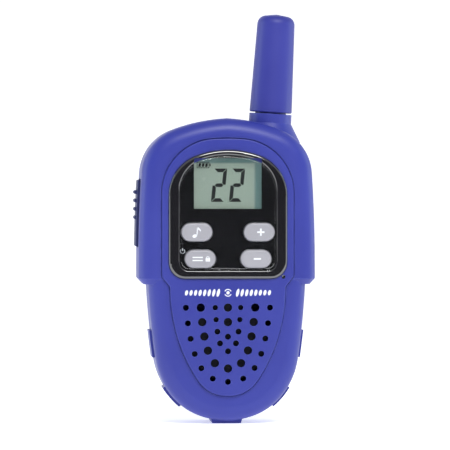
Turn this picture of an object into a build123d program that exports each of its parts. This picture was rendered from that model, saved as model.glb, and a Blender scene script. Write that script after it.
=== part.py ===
"""Handheld two-way radio with a stub aerial, a display, four front keys, a side talk bar and a belt clip.

Millimetres, +Z up, the front face looks along -Y and +X is the right hand of someone facing the front.
The origin is the middle of the flat foot that the radio stands on.
"""

from build123d import *
import math
import os

# ---- driving dimensions -------------------------------------------------------------------------
# body
wall = 1.8  # moulded wall of both housings
depth_front = 13.4  # parting plane to the flat of the front face
depth_rear = 13.4  # parting plane to the flat of the rear face
edge_round = 5.0  # round that runs along the front and rear edges
grip_half = 26.3  # half width of the lower, narrower grip
head_half = 29.3  # half width of the wider head
head_low = 46.2  # where the head begins
grip_drop = 0.3  # the head stands this far over the grip, in front and behind
head_top = 101.1  # top of the head at its middle
head_step = 1.9  # bevel of the head's lower edge
foot_half = 4.7
foot_flare = 1.0
foot_half_depth = 8.0
foot_rise = 3.0
pad_rise = 0.8  # grip pads stand proud of the sides
pad_half_depth = 6.0
lip = 0.9  # thickness of the alignment lip at the parting plane
lip_tall = 1.5
fit_gap = 0.1  # clearance between pieces that are fitted together
run_gap = 0.3  # clearance round pieces that move
pin_gap = 0.05  # radial clearance of a pin that turns

# front panel and grille
plateau_rise = 0.8  # the panel stands proud of the front face
plateau_half = 21.8
plateau_grille_half = 19.1
plateau_top = 94.4
plateau_crown = 60.0  # radius of the arched top
plateau_corner = 18.0  # radius of its shoulders
plateau_low = 9.4
plateau_edge = 0.45
groove = 0.3  # width and depth of the line round the panel
grille_top = 38.6  # height of the first row of sound holes
grille_pitch = 4.8
hole_big = 2.8
hole_small = 2.0
hole_fine = 1.8
mic_x, mic_z, mic_hole = 18.35, 48.7, 1.3

# display
bezel_half = 19.6
bezel_top = 90.6
bezel_low = 48.0
bezel_crown = 30.0
bezel_shoulder = 14.0
bezel_corner = 5.5
bezel_proud = 1.0  # the ring stands proud of the panel
bezel_seat = 0.9  # depth of the seat in the panel
bezel_ledge = 2.0
lens_half = 16.0
lens_top = 88.9
lens_low = 50.8
lens_crown = 27.0
lens_shoulder = 11.0
lens_corner = 3.0
lens_thick = 1.0
lens_round = 0.75  # soft front edge of the window
lens_sink = 0.7  # lens front below the ring's crest
plate_thick = 1.3  # black plate behind the lens
window_wide = 22.4
window_tall = 16.7
window_mid = 79.5
lcd_wide = 24.8
lcd_tall = 21.0
lcd_glass = 0.95  # each of the two glasses
lcd_shelf = 1.6  # the rear glass reaches this far below the front one
guide_thick = 1.1
holder_wall = 1.2

# front keys
key_long = 10.3
key_tall = 6.1
key_crown = 0.9
key_proud = 1.0  # keys stand proud of the lens
key_gap = 0.25
key_flange = 1.0
key_flange_thick = 0.8
key_places = {
    "call_key": (-10.3, 63.5),
    "up_key": (10.3, 63.5),
    "menu_key": (-9.2, 54.7),
    "down_key": (9.2, 54.7),
}
mat_half = 15.5
mat_low, mat_high = 50.2, 67.2
mat_thick = 0.8
dome_dia = 5.0
dome_tall = 0.3

# circuit board
board_stand = 4.1  # black plate's back to the board's front face
board_thick = 1.0
board_low = 43.8
board_margin = 6.2  # board edge to the head's outline

# loudspeaker and microphone
speaker_mid = 27.4
speaker_dia = 26.0
speaker_magnet_dia = 14.0
speaker_magnet_thick = 2.6
speaker_deep = 4.6  # flange to magnet
mic_dia = 4.0
mic_thick = 2.0
mic_boot_wall = 0.6

# talk bar
talk_low, talk_high = 58.6, 80.7
talk_half = 5.9  # half of its width along Y
talk_proud = 0.9
talk_pivot_in = 3.6  # hinge line inside the head's side
talk_pivot_z = 60.4
talk_pin_dia = 1.5
talk_barrel_dia = 3.2
talk_ear = 1.5  # thickness of the ears that carry the pin
talk_flange = 1.3
talk_rib_dia = 1.3
talk_rib_low, talk_rib_pitch, talk_ribs = 68.2, 2.8, 4
switch_z = 72.0
switch_stand = 1.7  # the side switch's axis above the board

# aerial
aerial_x = 15.2
aerial_rise = 1.5  # the aerial's seat above the head's top
aerial_lean = 3.5  # degrees towards +X
aerial_base = 14.1
aerial_tip = 12.3
aerial_long = 33.2
aerial_dome = 3.4
aerial_gap = 0.5
aerial_bore = 8.6
spigot_long = 9.0
neck_deep = 16.0
neck_flare = 3.4  # the neck spreads this far where it meets the head
flare_high, flare_tall = 3.0, 6.0  # top of the spread below the aerial's seat, and its height
coil_wire = 0.8
coil_pitch = 2.2
coil_turns = 9
core_dia = 4.6
ferrule_dia = 6.4
ferrule_long = 5.0

# battery bay
cell_dia = 10.5
cell_long = 44.5
cell_nub_dia = 3.8
cell_nub = 0.8
cell_gap = 0.3  # between neighbouring cells
cell_slack = 0.2  # between a cell and the door
bay_side = 0.85  # room beside the outer cells
bay_low = 10.9
bay_spare = 3.3  # room for the contacts beyond the cells' length
bay_wall = 1.1
contact_thick = 0.4
spring_wire = 0.5
spring_turns = 3
door_side = 0.3  # the door reaches this far past the bay's sides
door_under = 1.6  # and this far below the bay
door_short = 0.5  # and stops this far below the bay's top
door_corner = 6.0
door_gap = 0.2
hook_half = 1.5
hook_x = 5.4
hook_reach = 1.8
hook_thick = 1.0

# battery latch, hinged on the door
latch_half = 6.0
latch_high = 16.8
latch_thick = 1.5
latch_pivot_in = 1.1  # pin axis inside the rear face
latch_pivot_up = 1.1  # and above the door's lower edge
latch_round = 1.1
latch_pin_dia = 1.2
latch_cheek = 2.0
toe_gap = 0.3  # the toe stops this far above its catch

# belt clip and its rail
clip_half = 9.0
clip_thick = 2.2
clip_throat = 5.2  # room for a belt
clip_nib = 0.7
clip_low = 60.8
clip_high = 97.3
clip_block_low = 83.4
rail_half = 4.5
rail_neck_half = 2.5
rail_low, rail_high = 84.0, 95.0
rail_lift = 1.6
rail_cap = 1.4

# screws
screw_dia = 2.2
screw_long = 9.0
screw_head_dia = 4.0
screw_head_tall = 1.4
screw_seat = 6.0  # Y of the face that the heads bear on
screw_places = [(18.5, 86.5), (-18.5, 86.5), (20.6, 38.0), (-20.6, 38.0)]
boss_dia = 5.2

# ---- values that follow from them ---------------------------------------------------------------
plateau_y = -(depth_front + plateau_rise)
front_inside = plateau_y + wall
crest_y = plateau_y - bezel_proud
lens_front = crest_y + lens_sink
lens_back = lens_front + lens_thick
plate_back = lens_back + fit_gap + plate_thick
seat_y = plateau_y + bezel_seat
board_front = plate_back + board_stand
board_back = board_front + board_thick
rear_inside = depth_rear - wall
door_seat = rear_inside - grip_drop  # the door's inner face
cell_pitch = cell_dia + cell_gap
bay_half = cell_pitch + cell_dia / 2 + bay_side
bay_tall = cell_long + bay_spare
bay_high = bay_low + bay_tall
bay_floor = door_seat - cell_dia - cell_slack
cell_y = bay_floor + fit_gap / 2 + cell_dia / 2
door_half = bay_half + door_side
door_low, door_high = bay_low - door_under, bay_high - door_short
latch_pivot_y, latch_pivot_z = depth_rear - latch_pivot_in, door_low + latch_pivot_up
talk_pivot_x = -(head_half - talk_pivot_in)
switch_y = board_back + switch_stand
aerial_z = head_top + aerial_rise
far = 300.0  # longer than anything in the model

os.makedirs("parts", exist_ok=True)


# ---- helpers ------------------------------------------------------------------------------------
def slab(face, y_low, y_high):
    """Extrudes a face drawn as (X, Z) between two depths."""
    return extrude(Plane.XZ.offset(-y_high) * face, y_high - y_low)


def block(x, y, z):
    """A box from pairs of limits."""
    size = (x[1] - x[0], y[1] - y[0], z[1] - z[0])
    return Pos((x[0] + x[1]) / 2, (y[0] + y[1]) / 2, (z[0] + z[1]) / 2) * Box(*size)


def rod_x(radius, x_low, x_high, y, z):
    """A cylinder along X."""
    return Pos((x_low + x_high) / 2, y, z) * Rot(0, 90, 0) * Cylinder(radius, x_high - x_low)


def rod_y(radius, y_low, y_high, x, z):
    """A cylinder along Y."""
    return Pos(x, (y_low + y_high) / 2, z) * Rot(90, 0, 0) * Cylinder(radius, y_high - y_low)


def rod_z(radius, z_low, z_high, x, y):
    """A cylinder along Z."""
    return Pos(x, y, (z_low + z_high) / 2) * Cylinder(radius, z_high - z_low)


def turned_y(points, x, z):
    """A solid turned about a line along Y, from points (radius, Y)."""
    return Pos(x, 0, z) * revolve(make_face(Polyline(*points, close=True)), Axis.Y)


def side_profile(points, x_low, x_high):
    """Extrudes a closed outline of (Y, Z) points along X."""
    face = make_face(Polyline(*points, close=True))
    return extrude(Plane.YZ.offset(x_low) * face, x_high - x_low)


def joined(pieces):
    """One group of separate solids."""
    return Compound(children=list(pieces))


def save(name, shape):
    export_step(shape, f"parts/{name}.step")


def mirrored_face(edges, across=()):
    """A closed face from edges drawn on the right, their mirror images and edges drawn right across."""
    return make_face(edges + [mirror(edge, Plane.YZ) for edge in edges] + list(across))


def chain(start, tangent, points):
    """Tangent arcs through a list of points."""
    edges = []
    for point in points:
        edges.append(TangentArc(start, point, tangent=tangent))
        start, tangent = edges[-1] @ 1, edges[-1] % 1
    return edges


def rounded_rim(solid, radius, y):
    """Rounds the outline that lies in the plane at depth y."""
    rim = solid.edges().filter_by_position(Axis.Y, y - 0.01, y + 0.01)
    return fillet(rim, radius)


# ---- outlines, drawn as (X, Z) ------------------------------------------------------------------
def grip_outline(inset=0.0):
    """The grip: a rounded heel that runs up into nearly straight sides."""
    under = ThreePointArc((-9.5, 2.7), (0, 0.9), (9.5, 2.7))
    side = [(19.0, 10.0), (grip_half - 2.6, 21.5), (grip_half, head_low + 5)]
    edges = chain(under @ 1, under % 1, side)
    top = head_low + 20
    edges.append(Line(edges[-1] @ 1, (grip_half, top)))
    face = mirrored_face(edges, [under, Line((-grip_half, top), (grip_half, top))])
    return offset(face, -inset, kind=Kind.INTERSECTION) if inset else face


def head_outline(inset=0.0):
    """The head: long side arcs, tight shoulders and a shallow crown. It runs on below the step."""
    low = head_low - 25
    shoulder = (head_half - 1.0, head_top - 18)
    crown = (head_half - 11.1, head_top - 4)
    edges = [Line((0, low), (head_half, low)), Line((head_half, low), (head_half, head_low + 6))]
    edges += chain((head_half, head_low + 6), (0, 1), [shoulder, crown, (0, head_top)])
    face = mirrored_face(edges)
    return offset(face, -inset, kind=Kind.INTERSECTION) if inset else face


def crowned_face(edges, half, top, crown, corner):
    """Closes edges that end at the sides' shoulders with a shallow crown, and rounds the shoulders."""
    z = shoulder_of(half, top, crown)
    arc = ThreePointArc((-half, z), (0, top), (half, z))
    face = mirrored_face(edges, [arc])
    return fillet(face.vertices().group_by(Axis.Y)[-1], corner)


def shoulder_of(half, top, crown):
    """Height at which a crown of this radius meets the sides."""
    return top - crown + math.sqrt(crown**2 - half**2)


def plateau_outline(inset=0.0):
    """The front panel: an arched top, a shoulder where the head ends and a U round the grille."""
    half, waist = plateau_half - inset, plateau_grille_half - inset
    top, low, crown = plateau_top - inset, plateau_low + inset, plateau_crown - inset
    drop = head_low - 0.8 - low
    hip = (half, head_low + 2.6)
    heel = [(0.832 * waist, low + 0.472 * drop), (0.503 * waist, low + 0.131 * drop), (0, low)]
    edges = chain((waist, low + drop), (0, -1), heel) + [Line((waist, low + drop), hip)]
    edges.append(Line(hip, (half, shoulder_of(half, top, crown))))
    return crowned_face(edges, half, top, crown, plateau_corner - inset)


def display_outline(half, low, top, crown, upper_corner, lower_corner):
    """An arched top over straight sides, with two round lower corners."""
    edges = [Line((0, low), (half, low)), Line((half, low), (half, shoulder_of(half, top, crown)))]
    face = crowned_face(edges, half, top, crown, upper_corner)
    lower = face.vertices().filter_by_position(Axis.Y, low - 0.01, low + 0.01).sort_by(Axis.X)
    return fillet([lower[0], lower[-1]], lower_corner)


def bezel_outline(inset=0.0):
    """Outer edge of the display surround."""
    half, low, top = bezel_half - inset, bezel_low + inset, bezel_top - inset
    crown, upper, lower = bezel_crown - inset, bezel_shoulder - inset, bezel_corner - inset
    return display_outline(half, low, top, crown, upper, lower)


def lens_outline(inset=0.0):
    """Outer edge of the clear window."""
    half, low, top = lens_half - inset, lens_low + inset, lens_top - inset
    crown, upper, lower = lens_crown - inset, lens_shoulder - inset, lens_corner - inset
    return display_outline(half, low, top, crown, upper, lower)


def window_outline():
    return Pos(0, window_mid) * Rectangle(window_wide, window_tall)


def key_outline(place, grow=0.0):
    return Pos(*place) * SlotOverall(key_long + 2 * grow, key_tall + 2 * grow)


def door_outline(grow=0.0):
    """The battery door: square at the top, round at the two lower corners."""
    half, low, high = door_half + grow, door_low - grow, door_high + grow
    corner = door_corner + grow
    base = Line((0, low), (half - corner, low))
    turn = TangentArc(base @ 1, (half, low + corner), tangent=(1, 0))
    return mirrored_face([base, turn, Line(turn @ 1, (half, high)), Line((half, high), (0, high))])


# ---- the outer form, used at several insets -----------------------------------------------------
def aerial_frame():
    """The place where the aerial sits on the neck, tilted as the aerial leans."""
    return Pos(aerial_x, 0, aerial_z) * Rot(0, aerial_lean, 0)


def neck(inset, over):
    """The upright tube that carries the aerial, spread at its root, ending this far over the seat."""
    base = (Align.CENTER, Align.CENTER, Align.MIN)
    tube = Cylinder(aerial_base / 2 - inset, neck_deep + over, align=base)
    radius = aerial_base / 2 - inset
    root = Cone(radius + neck_flare, radius, flare_tall, align=base)
    tube = Pos(0, 0, -neck_deep) * tube + Pos(0, 0, -flare_high - flare_tall) * root
    return aerial_frame() * tube


def rounded_slab(face, inset, rim):
    """The full depth of the body less an inset, rounded along its front and rear edges."""
    y_low, y_high = -(depth_front - inset), depth_rear - inset
    return rounded_rim(rounded_rim(slab(face, y_low, y_high), rim, y_low), rim, y_high)


def form(inset=0.0, over=0.0):
    """The closed body form, moved inwards by inset all over."""
    grip = rounded_slab(grip_outline(inset), inset + grip_drop, edge_round - inset)
    head = rounded_slab(head_outline(inset), inset, edge_round - inset)
    head -= block((-far, far), (-far, far), (-far, head_low + inset))
    if inset == 0:
        head = chamfer(head.faces().sort_by(Axis.Z)[0].edges(), head_step, 0.9 * head_step)
    return grip + head + neck(inset, over)


def side_pads():
    """Raised grip pads on the sides and at the two lower corners."""
    raised = grip_outline(-pad_rise)
    upper = Pos(grip_half, 26.3) * Rectangle(8, 9.0)
    lower = Pos(18.9, 8.2) * Rot(0, 0, -36) * Rectangle(8, 8.2)
    pads = []
    for window in (upper, lower, mirror(upper, Plane.YZ), mirror(lower, Plane.YZ)):
        pads.append(slab(raised & window, -pad_half_depth, pad_half_depth))
    return pads


def foot():
    """The block that the radio stands on."""
    outline = [(-foot_half, 0), (foot_half, 0), (foot_half + foot_flare, foot_rise)]
    outline.append((-foot_half - foot_flare, foot_rise))
    base = slab(make_face(Polyline(*outline, close=True)), -foot_half_depth, foot_half_depth)
    return base


def outer_body():
    """Everything that both housings show outside, before they are split."""
    body = form()
    body -= slab(plateau_outline(-groove), -far, -depth_front + grip_drop + groove)
    body += rounded_rim(slab(plateau_outline(), plateau_y, -depth_front / 2), plateau_edge, plateau_y)
    for piece in side_pads() + [foot()]:
        body += piece
    return body


def talk_slot(grow):
    """The slot that the talk bar moves in, cut through the left side."""
    y = talk_half + grow
    return block((-far, -head_half + 4 * wall), (-y, y), (talk_low - grow, talk_high + grow))


def talk_ears(y_side):
    """One ear for the talk bar's pin, on the front (-1) or the rear (+1) housing."""
    inner = talk_half + talk_flange + run_gap
    y = sorted((y_side * inner, y_side * (inner + talk_ear)))
    size = 2.0
    x = (talk_pivot_x - size, talk_pivot_x + size)
    ear = block(x, y, (talk_pivot_z - size, talk_pivot_z + size))
    return ear - rod_y(talk_pin_dia / 2, -far, far, talk_pivot_x, talk_pivot_z)


def sound_holes():
    """The grille: three nested U-shaped rows of round holes and a short middle column."""
    holes = [(0, 0, hole_big), (0, grille_pitch, hole_big), (0, 2 * grille_pitch, hole_small)]
    rows = [
        (13.9, 24.5, 6, [hole_small] * 7),
        (9.0, 20.1, 5, [hole_big] * 6),
        (4.2, 14.4, 4, [hole_fine] * 2 + [hole_small] * 3),
    ]
    for half, drop, steps, sizes in rows:
        curve = Bezier((half, 0), (0.86 * half, -0.72 * drop), (0.62 * half, -drop), (0, -drop))
        for step in range(steps + 1):
            place = curve @ (step / steps)
            for side in (1, -1) if step < steps else (1,):
                holes.append((side * place.X, -place.Y, sizes[step]))
    y_low, y_high = plateau_y - 1, front_inside + 4.4
    return [rod_y(dia / 2, y_low, y_high, x, grille_top - down) for x, down, dia in holes]


def bosses(y_low, y_high, dia):
    return [rod_y(dia / 2, y_low, y_high, x, z) for x, z in screw_places]


# ---- housings -----------------------------------------------------------------------------------
def front_housing(outer, hollow):
    """The front moulding, with the display seat, the grille, bosses and the speaker's collar."""
    body = (outer - hollow) & block((-far, far), (-far, 0), (-far, far))
    body -= form(lip, -1.0) & block((-far, far), (-lip_tall - fit_gap, 1), (-far, far))
    speaker_ring = rod_y(speaker_dia / 2 + 1.6, front_inside - 0.2, front_inside + 3.2, 0, speaker_mid)
    speaker_ring -= rod_y(speaker_dia / 2 + fit_gap, front_inside, 0, 0, speaker_mid)
    mic_ring = rod_y(mic_dia / 2 + 1.6, front_inside - 0.2, front_inside + 2.2, mic_x, mic_z)
    mic_ring -= rod_y(mic_dia / 2 + mic_boot_wall + fit_gap, front_inside + 1.2, 0, mic_x, mic_z)
    inside = [talk_ears(-1), speaker_ring, mic_ring]
    inside += [boss for boss in bosses(front_inside, -run_gap, boss_dia)]
    for piece in inside:
        body += piece & hollow_grown
    for pilot in bosses(-screw_long + 1, 0, screw_dia + 0.04):
        body -= pilot
    body -= slab(bezel_outline(-fit_gap), -far, seat_y)
    body -= slab(bezel_outline(bezel_ledge), -far, front_inside + 3.4)
    for hole in sound_holes():
        body -= hole
    body -= rod_y(mic_hole / 2, -far, front_inside + 3.4, mic_x, mic_z)
    body -= talk_slot(run_gap)
    return body


def rear_housing(outer, hollow):
    """The rear moulding, with the battery bay, screw wells, the clip's rail and the alignment lip."""
    body = outer & block((-far, far), (0, far), (-far, far))
    body += form(lip + fit_gap, -1.2) & block((-far, far), (-lip_tall, 0), (-far, far))
    body -= hollow
    bay = block((-bay_half - bay_wall, bay_half + bay_wall), (bay_floor - bay_wall, rear_inside),
                (bay_low - 2.4, bay_high + bay_wall))
    inside = [bay, talk_ears(1)] + bosses(0.0, rear_inside + 1, boss_dia)
    for piece in inside:
        body += piece & hollow_grown
    body -= slab(door_outline(door_gap), door_seat - fit_gap, far)
    body -= block((-bay_half, bay_half), (bay_floor, far), (bay_low, bay_high))
    for side in (1, -1):
        x = side * hook_x
        body -= block((x - hook_half - run_gap, x + hook_half + run_gap),
                      (rear_inside - hook_thick - 1.4, rear_inside),
                      (bay_high - 1, door_high + hook_reach + 0.8))
    pocket = latch_half + latch_cheek + 2 * run_gap
    body -= block((-pocket, pocket), (latch_pivot_y - 2.7, rear_inside + 0.01),
                  (door_low - door_gap, bay_low + 1))
    for well in bosses(screw_seat, far, screw_head_dia + 0.5) + bosses(-1, far, screw_dia + 0.3):
        body -= well
    body -= talk_slot(run_gap)
    rail = block((-rail_neck_half, rail_neck_half), (rear_inside + 0.5, depth_rear + rail_lift),
                 (rail_low, rail_high))
    rail += block((-rail_half, rail_half), (depth_rear + rail_lift, depth_rear + rail_lift + rail_cap),
                  (rail_low, rail_high))
    return body + rail


# ---- display ------------------------------------------------------------------------------------
def display_bezel():
    """Black surround: a raised ring with a seat for the lens, over a plate with the openings."""
    ring = slab(bezel_outline(), crest_y, seat_y)
    ring = rounded_rim(ring, 0.9, crest_y)
    plug = slab(bezel_outline(bezel_ledge + fit_gap), seat_y - 0.1, plate_back)
    well = slab(lens_outline(), -far, lens_back + fit_gap)
    body = ring + plug - well
    brim = body.edges().filter_by_position(Axis.Y, crest_y - 0.01, crest_y + 0.01)
    body = fillet(brim, 0.45)
    body -= slab(window_outline(), -far, far)
    for place in key_places.values():
        body -= slab(key_outline(place, key_gap), -far, far)
    return body


def display_lens():
    """Clear window that covers the whole black plate."""
    body = slab(lens_outline(fit_gap), lens_front, lens_back)
    body = rounded_rim(body, lens_round, lens_front)
    for place in key_places.values():
        body -= slab(key_outline(place, key_gap), -far, far)
    return body


def lcd_panel():
    """Two bonded glasses, the rear one longer so that its lower edge carries the contacts."""
    front = plate_back + fit_gap
    low, high = window_mid - lcd_tall / 2, window_mid + lcd_tall / 2
    x = (-lcd_wide / 2, lcd_wide / 2)
    panel = block(x, (front, front + lcd_glass), (low + lcd_shelf, high))
    return panel + block(x, (front + lcd_glass, front + 2 * lcd_glass), (low, high))


def light_guide():
    """Clear plate that lights the display from behind."""
    front = plate_back + 2 * fit_gap + 2 * lcd_glass
    low, high = window_mid - lcd_tall / 2 + 2.2, window_mid + lcd_tall / 2
    return block((-lcd_wide / 2, lcd_wide / 2), (front, front + guide_thick), (low, high))


def contact_strip():
    """Striped rubber strip that joins the glass to the board."""
    low = window_mid - lcd_tall / 2
    front = plate_back + 2 * fit_gap + 2 * lcd_glass
    return block((-11.5, 11.5), (front, board_front - fit_gap), (low + 0.1, low + 1.9))


def lcd_holder():
    """Frame that clips the glass and the light guide to the board."""
    half = lcd_wide / 2 + holder_wall + fit_gap
    low, high = window_mid - lcd_tall / 2 - fit_gap, window_mid + lcd_tall / 2 + fit_gap
    y = (plate_back + fit_gap + 0.4, board_front - fit_gap)
    body = block((-half, half), y, (low - holder_wall, high + holder_wall))
    return body - block((-half + holder_wall, half - holder_wall), (-far, far), (low, high))


# ---- keys ---------------------------------------------------------------------------------------
def front_key(place):
    """One key: a crowned pill that stands through the lens, with a flange behind the plate."""
    top = lens_front - key_proud
    flange_front = plate_back + fit_gap
    foot_y = flange_front + key_flange_thick + 0.7
    cap = rounded_rim(slab(key_outline(place), top, foot_y), key_crown, top)
    return cap + slab(key_outline(place, key_flange), flange_front, flange_front + key_flange_thick)


def keypad_mat():
    """Silicone sheet under the keys, held off the board by its rim."""
    x, z = (-mat_half, mat_half), (mat_low, mat_high)
    back = board_front - fit_gap
    front = back - 0.5 - mat_thick
    body = block(x, (front, back), z)
    inner = block((x[0] + 1.2, x[1] - 1.2), (front + mat_thick, back + 1), (z[0] + 1.2, z[1] - 1.2))
    return body - inner


def dome_switches():
    """Four snap domes on the board, one under each key."""
    r, t = dome_dia / 2, dome_tall
    back = board_front - 0.02
    outline = [(0, back - t), (0.6 * r, back - 0.8 * t), (r, back - 0.08), (r, back), (0, back)]
    return joined(turned_y(outline, x, z) for x, z in key_places.values())


# ---- electronics --------------------------------------------------------------------------------
def main_board():
    """Circuit board, notched round the upper screw bosses."""
    outline = head_outline(board_margin) & (Pos(0, board_low + 50) * Rectangle(far, 100))
    beside_grip = Pos(0, head_low + wall + run_gap - 50) * Rectangle(far, 100)
    outline -= beside_grip - grip_outline(wall + run_gap)
    body = slab(outline, board_front, board_back)
    for notch in bosses(-far, far, boss_dia + 0.8):
        body -= notch
    return body


def rf_shield():
    """Folded steel can over the radio section."""
    y = (board_back + 0.02, board_back + 2.6)
    body = block((-13, 9), y, (69, 92))
    return body - block((-12.7, 8.7), (y[0] - 1, y[1] - 0.3), (69.3, 91.7))


def board_chips():
    """Controller, audio amplifier, memory and a row of small capacitors."""
    y = board_back + 0.02
    sizes = [(-6, 60, 9, 9, 1.2), (8, 62, 6, 5, 1.4), (14, 54, 4, 5, 1.2)]
    chips = [block((x - w / 2, x + w / 2), (y, y + t), (z - h / 2, z + h / 2))
             for x, z, w, h, t in sizes]
    for count in range(6):
        x = -14 + 3.4 * count
        chips.append(block((x, x + 1.6), (y, y + 0.8), (50.5, 51.4)))
    return joined(chips)


def crystal_can():
    """Metal-cased quartz crystal."""
    y = board_back + 0.02
    return slab(Pos(-17.5, 79) * Rot(0, 0, 90) * SlotOverall(9.6, 3.8), y, y + 3.2)


def talk_switch():
    """Side-acting push switch on the board's left edge."""
    x = (-head_half + board_margin, -head_half + board_margin + 3.6)
    body = block(x, (board_back + 0.02, board_back + 3.4), (switch_z - 2.3, switch_z + 2.3))
    return body - rod_x(0.85, x[0] - 1, x[0] + 1.2, switch_y, switch_z)


def switch_plunger():
    """The talk switch's own plunger."""
    x = -head_half + board_margin
    return rod_x(0.8, x - 0.6, x + 1.1, switch_y, switch_z)


# ---- talk bar -----------------------------------------------------------------------------------
def talk_bar():
    """Side bar that follows the head's outline, with four finger ribs, hinged at its lower end."""
    y = (-talk_half, talk_half)
    cover = slab(head_outline(-talk_proud), *y) & block((-far, talk_pivot_x - 0.3), y, (talk_low, talk_high))
    rim = cover.edges().filter_by_position(Axis.X, -far, -head_half + 0.2)
    cover = fillet(rim, 0.45)
    for count in range(talk_ribs):
        z = talk_rib_low + count * talk_rib_pitch
        cover += rod_y(talk_rib_dia / 2, -talk_half + 1, talk_half - 1, -head_half - talk_proud + 0.35, z)
    inner = wall + run_gap
    reach = talk_half + talk_flange
    flange = slab(head_outline(inner), -reach, reach) - slab(head_outline(inner + 1.2), -far, far)
    cover += flange & block((-far, talk_pivot_x + 1), (-far, far), (talk_low + 0.6, talk_high + talk_flange))
    cover += rod_y(talk_barrel_dia / 2, -reach, reach, talk_pivot_x, talk_pivot_z)
    nib = (-head_half + inner + 1, -head_half + board_margin - 1.3)
    cover += block(nib, (switch_y - 0.8, switch_y + 0.8), (switch_z - 1, switch_z + 1))
    return cover - rod_y(talk_pin_dia / 2 + pin_gap, -far, far, talk_pivot_x, talk_pivot_z)


def talk_pin():
    """Steel pin that the talk bar turns on, held in the two ears."""
    end = talk_half + talk_flange + run_gap + talk_ear
    return rod_y(talk_pin_dia / 2 - 0.01, -end, end, talk_pivot_x, talk_pivot_z)


# ---- loudspeaker and microphone -----------------------------------------------------------------
speaker_face = front_inside + 1.2  # front of the speaker's flange


def speaker_cloth():
    """Dust cloth behind the grille."""
    return rod_y(speaker_dia / 2, front_inside + 0.02, front_inside + 0.32, 0, speaker_mid)


def speaker_gasket():
    r = speaker_dia / 2
    y_low, y_high = front_inside + 0.36, speaker_face - 0.02
    ring = [(r - 2, y_low), (r, y_low), (r, y_high), (r - 2, y_high)]
    return turned_y(ring, 0, speaker_mid)


def speaker_frame():
    """Pressed steel basket: a flat flange, a sloping wall and a back plate."""
    r, m = speaker_dia / 2, speaker_magnet_dia / 2
    y, back = speaker_face, speaker_face + speaker_deep
    outline = [(r, y), (r, y + 0.6), (r - 1.6, y + 0.6), (m + 1.6, back), (0, back)]
    outline += [(0, back - 0.6), (m + 1.2, back - 0.6), (r - 2.2, y)]
    return turned_y(outline, 0, speaker_mid)


def speaker_cone():
    """Thin moulded cone with a domed cap and a rolled edge."""
    r, y = speaker_dia / 2 - 2.6, speaker_face
    outline = [(r, y + 0.1), (r - 1.2, y - 0.2), (r - 2.2, y + 0.2)]
    outline += [(4.4, y + 2.0), (2.4, y + 1.3), (0, y + 1.0)]
    back = [(radius, depth + 0.25) for radius, depth in reversed(outline)]
    return turned_y(outline + back, 0, speaker_mid)


def speaker_magnet():
    back = speaker_face + speaker_deep
    body = rod_y(speaker_magnet_dia / 2, back + 0.02, back + speaker_magnet_thick, 0, speaker_mid)
    return rounded_rim(body, 0.4, back + speaker_magnet_thick)


mic_front = front_inside + 1.25  # front of the microphone's boot


def microphone():
    """Electret capsule."""
    return rod_y(mic_dia / 2, mic_front + 0.6, mic_front + 0.6 + mic_thick, mic_x, mic_z)


def microphone_boot():
    """Rubber sleeve that seals the capsule to the sound hole."""
    r = mic_dia / 2 + 0.02
    body = rod_y(r + mic_boot_wall, mic_front, mic_front + 0.7 + mic_thick, mic_x, mic_z)
    body -= rod_y(r, mic_front + 0.58, far, mic_x, mic_z)
    return body - rod_y(mic_hole / 2, -far, far, mic_x, mic_z)


# ---- aerial, built upright on its own axis and then tilted ---------------------------------------
def aerial_sheath():
    """Tapered sleeve with a domed tip and a spigot that the neck holds."""
    base, tip, bore = aerial_base / 2, aerial_tip / 2, aerial_bore / 2
    spigot = base - wall - fit_gap
    brow = aerial_long - 0.9
    outline = [(bore, -spigot_long), (spigot, -spigot_long), (spigot, aerial_gap)]
    outline += [(base - 0.3, aerial_gap), (base, aerial_gap + 0.3), (tip, brow), (0, aerial_long)]
    outline += [(0, aerial_long - 4.4), (bore, aerial_long - 6.4)]
    body = revolve(Plane.XZ * make_face(Polyline(*outline, close=True)), Axis.Z)
    edge = body.edges().filter_by(GeomType.CIRCLE).sort_by(Axis.Z)[-1]
    return aerial_frame() * fillet(edge, aerial_dome - 0.5)


def aerial_core():
    """Plastic rod inside the coil."""
    return aerial_frame() * rod_z(core_dia / 2, 0.1, aerial_long - 8.4, 0, 0)


def aerial_coil():
    """Helical copper winding on the core."""
    radius = core_dia / 2 + coil_wire / 2 + 0.05
    path = Helix(pitch=coil_pitch, height=coil_pitch * coil_turns, radius=radius)
    wire = sweep(Plane(path @ 0, z_dir=path % 0) * Circle(coil_wire / 2), path)
    return aerial_frame() * Pos(0, 0, 3) * wire


def aerial_ferrule():
    """Brass foot that the coil is soldered to."""
    body = rod_z(ferrule_dia / 2, -ferrule_long, 0, 0, 0) + rod_z(ferrule_dia / 2 + 0.9, -1.2, 0, 0, 0)
    return aerial_frame() * (body - rod_z(0.9, -ferrule_long - 1, -2, 0, 0))


def aerial_contact():
    """Bent strip from the board up into the spigot, where it meets the ferrule."""
    x = (aerial_x - 2.2, aerial_x - 0.2)
    top = aerial_z - ferrule_long - 0.6
    low = aerial_z - spigot_long - 1.7
    y = board_back + 0.02
    strip = [(y, low + 0.3), (y, low - 3.3), (y + 0.3, low - 3.3), (y + 0.3, low), (0.6, low),
             (0.6, top), (0.3, top), (0.3, low + 0.3)]
    return side_profile(strip, *x)


# ---- battery bay --------------------------------------------------------------------------------
cell_signs = [(-cell_pitch, 1), (0, -1), (cell_pitch, 1)]  # X of each cell, and which way its tip points


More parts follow.
